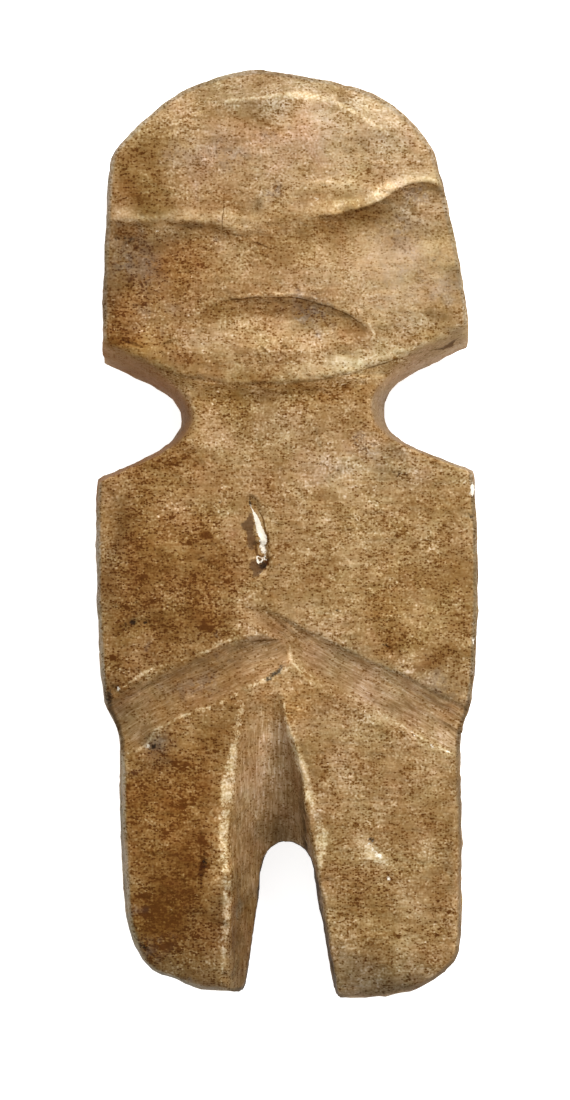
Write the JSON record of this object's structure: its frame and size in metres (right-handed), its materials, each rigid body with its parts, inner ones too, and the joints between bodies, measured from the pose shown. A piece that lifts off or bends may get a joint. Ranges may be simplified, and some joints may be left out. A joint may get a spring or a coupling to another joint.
{
  "type": "stone figurine",
  "caption": "Flat schematic standing figure carved from a slab of tan stone, with a brow ridge, a lens-shaped mouth, a notched neck and separate legs. Lies on its flat back.",
  "frame": {"origin": "middle of the flat back, on the surface that the figure lies on", "axes": "+Z from the back to the face, +Y from the feet to the crown, +X to the right of someone looking at the face"},
  "size_m": [0.0863, 0.21, 0.034],
  "materials": {
    "stone": "smoothed tan stone with brown encrustation, matt"
  },
  "bodies": {
    "root": {"figurine": "stone"}
  },
  "joints": []
}
